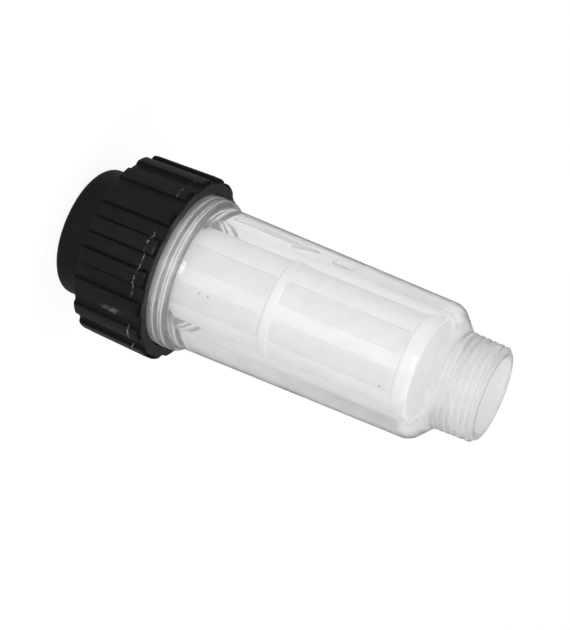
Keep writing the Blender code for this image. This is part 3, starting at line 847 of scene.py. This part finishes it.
class WATERFILTER_OT_stage(bpy.types.Operator):
    """Set the floor, the lamps, the white surroundings and the camera"""
    bl_idname = "scene.water_filter_stage"
    bl_label = "Stage"

    def execute(self, context):
        sizes = context.scene.water_filter_stage
        self.floor(sizes, context.scene.water_filter_colours)
        self.surroundings(context.scene)
        self.camera(context.scene, sizes)
        self.lamps(sizes)
        return {"FINISHED"}

    def view_axes(self, sizes):
        """The camera's view direction, and the right and down directions of its picture."""
        forward = Vector((0.0, math.cos(sizes.tilt), -math.sin(sizes.tilt)))
        rise = Vector((0.0, math.sin(sizes.tilt), math.cos(sizes.tilt)))
        side = Vector((1.0, 0.0, 0.0))
        roll = sizes.level_roll
        right = rise * math.cos(roll) - side * math.sin(roll)
        down = rise * math.sin(roll) + side * math.cos(roll)
        return forward, right, down

    def floor(self, sizes, colours):
        clear_selection()
        bpy.ops.mesh.primitive_plane_add(size=sizes.floor_size)
        floor = bpy.context.object
        floor.name = floor.data.name = "floor"
        floor.data.materials.append(floor_paper(colours))

    def surroundings(self, scene):
        """White to the camera, nearly white through the clear plastic, and dim in what the gloss mirrors."""
        world = bpy.data.worlds.new("studio")
        scene.world = world
        world.use_nodes = True
        tree = world.node_tree
        tree.nodes.clear()
        output = tree.nodes.new("ShaderNodeOutputWorld")
        direction = tree.nodes.new("ShaderNodeTexCoord")
        parts = place_parts(tree, direction.outputs["Generated"])
        reflected = ramp(tree, parts["Y"], 0.1, 0.75, 0.03, 0.25)
        through = maths(tree, "MULTIPLY", ramp(tree, parts["Y"], 0.0, 0.85, 0.8, 1.0),
                        ramp(tree, parts["X"], 0.0, 0.4, 1.0, 0.85))
        path = tree.nodes.new("ShaderNodeLightPath")
        strength = tree.nodes.new("ShaderNodeMix")
        tree.links.new(path.outputs["Is Transmission Ray"], strength.inputs["Factor"])
        tree.links.new(reflected, strength.inputs["A"])
        tree.links.new(through, strength.inputs["B"])
        seen = tree.nodes.new("ShaderNodeBackground")
        seen.inputs["Color"].default_value = (1.0, 1.0, 1.0, 1.0)
        backdrop = maths(tree, "MAXIMUM", strength.outputs["Result"], path.outputs["Is Camera Ray"])
        tree.links.new(backdrop, seen.inputs["Strength"])
        lit = tree.nodes.new("ShaderNodeBackground")
        lit.inputs["Color"].default_value = (1.0, 1.0, 1.0, 1.0)
        lit.inputs["Strength"].default_value = ROOM_LIGHT
        choose = tree.nodes.new("ShaderNodeMixShader")
        tree.links.new(background_rays(tree), choose.inputs[0])
        tree.links.new(lit.outputs[0], choose.inputs[1])
        tree.links.new(seen.outputs[0], choose.inputs[2])
        tree.links.new(choose.outputs[0], output.inputs["Surface"])
        scene.view_settings.view_transform = "Standard"

    def camera(self, scene, sizes):
        forward, right, down = self.view_axes(sizes)
        aim = Vector((0.0, 0.0, sizes.aim_height))
        level_tilt = sizes.level_roll - LEVEL_TURN
        level_down = Vector((math.cos(level_tilt), 0.0, 0.0)) + math.sin(level_tilt) * Vector(
            (0.0, math.sin(sizes.tilt), math.cos(sizes.tilt)))
        place = aim + level_down * sizes.axis_offset - forward * sizes.distance
        clear_selection()
        bpy.ops.object.camera_add(location=place)
        camera = bpy.context.object
        camera.name = camera.data.name = "photo_camera"
        turn_matrix = Matrix((right, -down, -forward)).transposed().to_4x4()
        camera.matrix_world = Matrix.Translation(place) @ turn_matrix
        camera.data.lens = sizes.focal_pixels * camera.data.sensor_width / LONG_SIDE
        camera.data.clip_start = 0.01
        scene.camera = camera

    def lamps(self, sizes):
        """Soft boxes round the filter: place from the aim, side, power and whether the gloss shows it."""
        forward, right, down = self.view_axes(sizes)
        aim = Vector((0.0, 0.0, sizes.aim_height))
        for name, offset, side, power, shows_in_gloss in (
                ("key_lamp", -down * BOX_RISE - forward * BOX_BACK, BOX_SIDE, sizes.key_power, False),
                ("fill_lamp", down * BOX_RISE - forward * BOX_BACK, BOX_SIDE, sizes.fill_power, False),
                ("side_lamp", right * 0.6 - forward * 0.25, BOX_SIDE, sizes.side_power, False),
                ("front_lamp", Vector((0.0, -0.6, 0.08)), 0.2, sizes.front_power, True),
                ("glint_lamp", -forward * 0.6 + down * 0.1, 0.025, sizes.glint_power, True)):
            self.soft_box(name, aim + offset, aim, side, power, shows_in_gloss)

    def soft_box(self, name, place, aim, size, power, shows_in_gloss):
        """A square lamp that faces the filter."""
        clear_selection()
        bpy.ops.object.light_add(type="AREA", location=place)
        lamp = bpy.context.object
        lamp.name = lamp.data.name = name
        lamp.rotation_euler = (place - aim).to_track_quat("Z", "Y").to_euler()
        lamp.data.shape = "SQUARE"
        lamp.data.size = size
        lamp.data.energy = power
        lamp.visible_glossy = shows_in_gloss


def new_material(name):
    """A material with its node tree, its Principled shader and its object coordinates."""
    material = bpy.data.materials.new(name)
    material.use_nodes = True
    tree = material.node_tree
    shader = tree.nodes["Principled BSDF"]
    coordinates = tree.nodes.new("ShaderNodeTexCoord").outputs["Object"]
    return material, tree, shader, coordinates


def maths(tree, operation, first, second=None, third=None):
    """A Math node on numbers or on other nodes' outputs."""
    node = tree.nodes.new("ShaderNodeMath")
    node.operation = operation
    for socket, value in zip(node.inputs, (first, second, third)):
        if isinstance(value, bpy.types.NodeSocket):
            tree.links.new(value, socket)
        elif value is not None:
            socket.default_value = value
    return node.outputs[0]


def speckle(tree, coordinates, size, detail=2.0, roughness=0.5):
    """Noise whose features are about this size."""
    texture = tree.nodes.new("ShaderNodeTexNoise")
    texture.inputs["Scale"].default_value = 1.0 / size
    texture.inputs["Detail"].default_value = detail
    texture.inputs["Roughness"].default_value = roughness
    tree.links.new(coordinates, texture.inputs["Vector"])
    return texture.outputs["Fac"]


def ramp(tree, value, low, high, start=0.0, end=1.0):
    """Smooth step of a value from low to high, onto start to end."""
    node = tree.nodes.new("ShaderNodeMapRange")
    node.interpolation_type = "SMOOTHSTEP"
    for name, number in (("From Min", low), ("From Max", high), ("To Min", start), ("To Max", end)):
        node.inputs[name].default_value = number
    tree.links.new(value, node.inputs["Value"])
    return node.outputs["Result"]


def tint(tree, factor, first, second):
    """Mix of two colours, each a colour or another node's output."""
    node = tree.nodes.new("ShaderNodeMix")
    node.data_type = "RGBA"
    tree.links.new(factor, node.inputs["Factor"])
    for socket, value in ((node.inputs["A"], first), (node.inputs["B"], second)):
        if isinstance(value, bpy.types.NodeSocket):
            tree.links.new(value, socket)
        else:
            socket.default_value = (*value, 1.0)
    return node.outputs["Result"]


def bump(tree, shader, height, distance, strength, below=None):
    """Relief from a height, laid over any relief below it."""
    node = tree.nodes.new("ShaderNodeBump")
    node.inputs["Distance"].default_value = distance
    node.inputs["Strength"].default_value = strength
    tree.links.new(height, node.inputs["Height"])
    if below is not None:
        tree.links.new(below, node.inputs["Normal"])
    tree.links.new(node.outputs["Normal"], shader.inputs["Normal"])
    return node.outputs["Normal"]


def background_rays(tree):
    """1 for the rays that show the background: camera, glossy and transmission rays."""
    path = tree.nodes.new("ShaderNodeLightPath")
    sharp = maths(tree, "MAXIMUM", path.outputs["Is Camera Ray"], path.outputs["Is Glossy Ray"])
    return maths(tree, "MAXIMUM", sharp, path.outputs["Is Transmission Ray"])


def vector_maths(tree, operation, first, second=None):
    """A Vector Math node on another node's output and a constant."""
    node = tree.nodes.new("ShaderNodeVectorMath")
    node.operation = operation
    tree.links.new(first, node.inputs[0])
    if second is not None:
        node.inputs[1].default_value = second
    return node.outputs["Value" if operation == "LENGTH" else "Vector"]


def place_parts(tree, coordinates):
    """The X, Y and Z of a place, by name."""
    parts = tree.nodes.new("ShaderNodeSeparateXYZ")
    tree.links.new(coordinates, parts.inputs[0])
    return parts.outputs


def shaded(tone, share):
    """A colour made darker or paler by this share."""
    return tuple(share * part for part in tone)


def spot(tree, coordinates, centre, size):
    """1 at a place on the piece, falling to 0 at this distance along each axis."""
    scaled = vector_maths(tree, "DIVIDE", vector_maths(tree, "SUBTRACT", coordinates, centre), size)
    return ramp(tree, vector_maths(tree, "LENGTH", scaled), 1.0, 0.3)


def on_surface(radius, degrees, height):
    """A point at this radius and angle round the axis."""
    turned = math.radians(degrees)
    return Vector((radius * math.cos(turned), radius * math.sin(turned), height))


def axis_distance(tree, coordinates):
    """Distance from the filter's axis."""
    return vector_maths(tree, "LENGTH", vector_maths(tree, "MULTIPLY", coordinates, (1.0, 1.0, 0.0)))


def shaded_rib_walls(tree, coordinates, height, sizes):
    """1 on the walls between the crowns of the ribs and the grooves, where shade is painted."""
    behind_line = maths(tree, "MAXIMUM", maths(tree, "SUBTRACT", sizes.parting_height, height), 0.0)
    radius = maths(tree, "MULTIPLY_ADD", behind_line, math.tan(sizes.draft), axis_distance(tree, coordinates))
    foot = sizes.groove_radius
    crown = foot + sizes.rib_height
    return maths(tree, "MULTIPLY", ramp(tree, radius, foot + 0.05 * MM, foot + 0.3 * MM),
                 ramp(tree, radius, crown - 0.15 * MM, crown - 0.45 * MM))


def black_plastic(colours, sizes):
    """Satin black moulding with a fine grain, painted shade on the ribs' walls, a scuff on one rib and pale
    flecks on its parting line.
    """
    material, tree, shader, coordinates = new_material("black_moulding")
    grain = speckle(tree, coordinates, 0.22 * MM, 3.0, 0.6)
    cloud = speckle(tree, coordinates, 6.0 * MM, 3.0)
    fine = speckle(tree, coordinates, 0.5 * MM, 4.0, 0.7)
    height = place_parts(tree, coordinates)["Z"]
    wander = maths(tree, "MULTIPLY_ADD", speckle(tree, coordinates, 3.0 * MM, 3.0), 1.8 * MM, -0.9 * MM)
    from_line = maths(tree, "ABSOLUTE", maths(tree, "SUBTRACT", maths(
        tree, "SUBTRACT", height, sizes.parting_height), wander))
    on_line = ramp(tree, from_line, 0.3 * MM, 0.08 * MM)
    broken = maths(tree, "MULTIPLY", ramp(tree, speckle(tree, coordinates, 5.0 * MM, 2.0), 0.47, 0.6),
                   ramp(tree, speckle(tree, coordinates, 0.9 * MM, 4.0, 0.7), 0.42, 0.6))
    flecks = maths(tree, "MULTIPLY", on_line, broken)
    scuff_place = spot(tree, coordinates, on_surface(SCUFF_RADIUS, SCUFF_ANGLE, SCUFF_HEIGHT), SCUFF_SIZE)
    drawn_out = vector_maths(tree, "MULTIPLY", coordinates, (1.0, 1.0, 0.16))
    scratched = ramp(tree, speckle(tree, drawn_out, 0.6 * MM, 5.0, 0.75), 0.43, 0.53)
    patchy = ramp(tree, speckle(tree, coordinates, 2.2 * MM, 3.0), 0.4, 0.56)
    scuff = maths(tree, "MULTIPLY", scuff_place, maths(tree, "MULTIPLY", scratched, patchy))
    whitened = maths(tree, "MAXIMUM", flecks, scuff)
    in_shaded_wall = shaded_rib_walls(tree, coordinates, height, sizes)
    body = tint(tree, ramp(tree, cloud, 0.35, 0.7), colours.black, shaded(colours.black, 1.35))
    # Painted shade: the ribs' walls are painted darker than their crowns
    body = tint(tree, in_shaded_wall, body, shaded(colours.black, WALL_PAINTED_SHADE))
    tree.links.new(tint(tree, whitened, body, colours.scuff), shader.inputs["Base Color"])
    rough = maths(tree, "MULTIPLY_ADD", fine, 0.16, 0.34)
    tree.links.new(maths(tree, "MULTIPLY_ADD", in_shaded_wall, WALL_ROUGHNESS, rough), shader.inputs["Roughness"])
    shader.inputs["Specular IOR Level"].default_value = 0.42
    bump(tree, shader, grain, 0.02 * MM, 0.5)
    return material


def clear_plastic(colours, sizes):
    """Clear moulding, milky on its neck, with milky lines on its bead's ridges as painted highlights and
    painted shade where it is seen edge on; it lets the lamps light what it holds.
    """
    material, tree, shader, coordinates = new_material("clear_moulding")
    height = place_parts(tree, coordinates)["Z"]
    radius = axis_distance(tree, coordinates)
    at_neck = ramp(tree, height, sizes.shoulder_height + 1.5 * MM, sizes.neck_bottom - 0.5 * MM)
    in_bore = ramp(tree, radius, sizes.bore_radius + 1.5 * MM, sizes.bore_radius + 0.5 * MM)
    at_bead = ramp(tree, height, sizes.tube_bottom - 3.6 * MM, sizes.tube_bottom - 4.6 * MM)
    matt = maths(tree, "MULTIPLY", at_bead, in_bore)
    groove = sizes.bead_bottom + sizes.first_bead
    # Painted highlight: pale milky lines along the bead's two ridges
    from_groove = maths(tree, "ABSOLUTE", maths(tree, "SUBTRACT", height, groove + RIDGE_SHIFT))
    from_ridge = maths(tree, "ABSOLUTE", maths(tree, "SUBTRACT", from_groove, RIDGE_REACH))
    ridge_highlight = maths(tree, "MULTIPLY", ramp(tree, from_ridge, 0.3 * MM, 0.1 * MM),
                     ramp(tree, radius, sizes.tube_radius, sizes.tube_radius + 0.8 * MM))
    cloud = speckle(tree, coordinates, 5.0 * MM, 3.0)
    milk_and_highlight = maths(tree, "MULTIPLY_ADD", at_neck, NECK_HAZE - TUBE_HAZE,
                 maths(tree, "MULTIPLY_ADD", cloud, 0.1, TUBE_HAZE - 0.05))
    milk_and_highlight = maths(tree, "MULTIPLY_ADD", matt, BEAD_HAZE - TUBE_HAZE, milk_and_highlight)
    milk_and_highlight = maths(tree, "MULTIPLY_ADD", ridge_highlight, RIDGE_HIGHLIGHT_HAZE - TUBE_HAZE, milk_and_highlight)
    tree.links.new(maths(tree, "SUBTRACT", 1.0, milk_and_highlight), shader.inputs["Transmission Weight"])
    # Painted shade: the bowl is painted darker where it is seen edge on, and darker still at the shoulder
    edge = tree.nodes.new("ShaderNodeLayerWeight")
    edge.inputs["Blend"].default_value = 0.5
    at_shoulder = ramp(tree, height, sizes.shoulder_height - 5.0 * MM, sizes.shoulder_height)
    painted_edge_shade = tint(tree, at_shoulder, colours.edge, shaded(colours.edge, SHOULDER_PAINTED_SHADE))
    body = tint(tree, ramp(tree, edge.outputs["Facing"], 0.55, 1.0), colours.clear, painted_edge_shade)
    body = tint(tree, maths(tree, "MAXIMUM", at_neck, ridge_highlight), body, colours.milk_and_highlight)
    tree.links.new(tint(tree, matt, body, colours.matt), shader.inputs["Base Color"])
    shader.inputs["IOR"].default_value = 1.52
    rough = ramp(tree, at_neck, 0.0, 1.0, 0.02, 0.04)
    tree.links.new(rough, shader.inputs["Roughness"])
    bump(tree, shader, speckle(tree, coordinates, 7.0 * MM, 1.0), 0.12 * MM, 0.25)
    output = tree.nodes["Material Output"]
    path = tree.nodes.new("ShaderNodeLightPath")
    open_air = tree.nodes.new("ShaderNodeBsdfTransparent")
    open_air.inputs["Color"].default_value = (*colours.clear, 1.0)
    choose = tree.nodes.new("ShaderNodeMixShader")
    tree.links.new(path.outputs["Is Shadow Ray"], choose.inputs[0])
    tree.links.new(shader.outputs[0], choose.inputs[1])
    tree.links.new(open_air.outputs[0], choose.inputs[2])
    tree.links.new(choose.outputs[0], output.inputs["Surface"])
    return material


def white_plastic(colours):
    """Satin white moulding with a faint flow pattern."""
    material, tree, shader, coordinates = new_material("white_moulding")
    cloud = speckle(tree, coordinates, 5.0 * MM, 3.0)
    shadowed = shaded(colours.white, 0.95)
    clouded = tint(tree, ramp(tree, cloud, 0.3, 0.7), colours.white, shadowed)
    tree.links.new(clouded, shader.inputs["Base Color"])
    tree.links.new(maths(tree, "MULTIPLY_ADD", cloud, 0.15, 0.36), shader.inputs["Roughness"])
    bump(tree, shader, speckle(tree, coordinates, 0.6 * MM, 2.0), 0.02 * MM, 0.25)
    return material


def gauze(colours, mesh_radius, wire_count, wire_pitch):
    """Woven mesh: pale wires with painted shade in the gaps, in step with the modelled weave, and specks of
    dirt.
    """
    material, tree, shader, coordinates = new_material("strainer_mesh")
    parts = place_parts(tree, coordinates)
    turned = maths(tree, "ARCTAN2", parts["Y"], parts["X"])
    across = maths(tree, "COSINE", maths(tree, "MULTIPLY", turned, float(wire_count)))
    rise = maths(tree, "SUBTRACT", parts["Z"], mesh_box[0].z)
    along = maths(tree, "COSINE", maths(tree, "MULTIPLY", rise, FULL_TURN / wire_pitch))
    # Painted shade in the weave's gaps, the low places of the modelled relief
    gap_shade = ramp(tree, maths(tree, "ADD", across, along), -0.2, -1.4)
    cloud = speckle(tree, coordinates, 4.0 * MM, 4.0)
    wires = tint(tree, ramp(tree, cloud, 0.35, 0.7), colours.gauze, shaded(colours.gauze, 0.93))
    woven = tint(tree, gap_shade, wires, colours.pore_shade)
    for degrees, height, size in DIRT_SPECKS:
        speck = spot(tree, coordinates, on_surface(mesh_radius, degrees, height * MM), (size * MM,) * 3)
        woven = tint(tree, speck, woven, colours.dirt)
    tree.links.new(woven, shader.inputs["Base Color"])
    tree.links.new(maths(tree, "MULTIPLY_ADD", cloud, 0.2, 0.45), shader.inputs["Roughness"])
    bump(tree, shader, speckle(tree, coordinates, 0.15 * MM, 2.0), 0.02 * MM, 0.3)
    return material


def rubber(name, body):
    """Matt rubber with a fine bloom."""
    material, tree, shader, coordinates = new_material(name)
    bloom = speckle(tree, coordinates, 1.5 * MM, 4.0, 0.65)
    pale = shaded(body, 1.7)
    tree.links.new(tint(tree, ramp(tree, bloom, 0.4, 0.75), tuple(body), pale), shader.inputs["Base Color"])
    tree.links.new(maths(tree, "MULTIPLY_ADD", bloom, 0.2, 0.6), shader.inputs["Roughness"])
    shader.inputs["Specular IOR Level"].default_value = 0.35
    bump(tree, shader, speckle(tree, coordinates, 0.25 * MM, 2.0), 0.02 * MM, 0.4)
    return material


def floor_paper(colours):
    """Pale paper that keeps the filter's shadow, and is white where it is the background, with painted shade
    where it is seen through the bowl's lower and far sides.
    """
    material, tree, shader, coordinates = new_material("floor_paper")
    tree.nodes.remove(shader)
    paper = tree.nodes.new("ShaderNodeBsdfDiffuse")
    fibres = speckle(tree, coordinates, 1.5 * MM, 3.0)
    pale = shaded(colours.floor, 0.985)
    tree.links.new(tint(tree, fibres, colours.floor, pale), paper.inputs["Color"])
    across = place_parts(tree, coordinates)["X"]
    path = tree.nodes.new("ShaderNodeLightPath")
    # Painted shade: the floor is dimmer through the bowl's lower side and its far sides, so those sides of
    # the bowl look darker
    below = ramp(tree, across, -24.0 * MM, 4.0 * MM, 0.0, LOWER_PAINTED_SHADE)
    far_side_shade = ramp(tree, maths(tree, "ABSOLUTE", across), 90.0 * MM, 300.0 * MM, 0.0, SIDE_PAINTED_SHADE)
    shade_through_bowl = maths(tree, "MULTIPLY", path.outputs["Is Transmission Ray"],
                         maths(tree, "ADD", below, far_side_shade))
    mirrored = maths(tree, "MULTIPLY", path.outputs["Is Glossy Ray"],
                     maths(tree, "SUBTRACT", 1.0, path.outputs["Is Transmission Ray"]))
    dimmed = maths(tree, "MULTIPLY_ADD", mirrored, MIRROR_DIMMING, shade_through_bowl)
    glow = tree.nodes.new("ShaderNodeEmission")
    tree.links.new(maths(tree, "SUBTRACT", FLOOR_GLOW, dimmed), glow.inputs["Strength"])
    backdrop = tree.nodes.new("ShaderNodeMixShader")
    tree.links.new(maths(tree, "MULTIPLY", background_rays(tree), FLOOR_SHARE), backdrop.inputs[0])
    tree.links.new(paper.outputs[0], backdrop.inputs[1])
    tree.links.new(glow.outputs[0], backdrop.inputs[2])
    tree.links.new(backdrop.outputs[0], tree.nodes["Material Output"].inputs["Surface"])
    return material


class WATERFILTER_PT_panel(bpy.types.Panel):
    """Buttons for the pieces of the water filter, and their sizes"""
    bl_idname = "WATERFILTER_PT_panel"
    bl_label = "Water Filter"
    bl_space_type = "VIEW_3D"
    bl_region_type = "UI"
    bl_category = "Water Filter"

    def draw(self, context):
        for operator in OPERATORS:
            self.layout.operator(operator.bl_idname)
        for name, group in SETTINGS.items():
            settings = getattr(context.scene, name)
            box = self.layout.box()
            box.label(text=group.__doc__)
            for field in group.__annotations__:
                box.prop(settings, field)


SETTINGS = {
    "water_filter_bowl": BowlSizes,
    "water_filter_cap": CapSizes,
    "water_filter_strainer": StrainerSizes,
    "water_filter_seals": SealSizes,
    "water_filter_colours": FinishColours,
    "water_filter_stage": StageSettings,
}
OPERATORS = (
    WATERFILTER_OT_cap,
    WATERFILTER_OT_seals,
    WATERFILTER_OT_cage,
    WATERFILTER_OT_mesh,
    WATERFILTER_OT_bowl,
    WATERFILTER_OT_stage,
)


def register():
    for item in (*SETTINGS.values(), *OPERATORS, WATERFILTER_PT_panel):
        bpy.utils.register_class(item)
    for name, group in SETTINGS.items():
        setattr(bpy.types.Scene, name, PointerProperty(type=group))


def unregister():
    for name in SETTINGS:
        delattr(bpy.types.Scene, name)
    for item in reversed((*SETTINGS.values(), *OPERATORS, WATERFILTER_PT_panel)):
        bpy.utils.unregister_class(item)


def main():
    register()
    bpy.ops.mesh.water_filter_cap()
    bpy.ops.mesh.water_filter_seals()
    bpy.ops.mesh.water_filter_cage()
    bpy.ops.mesh.water_filter_mesh()
    bpy.ops.mesh.water_filter_bowl()
    bpy.ops.scene.water_filter_stage()


if __name__ == "__main__":
    main()
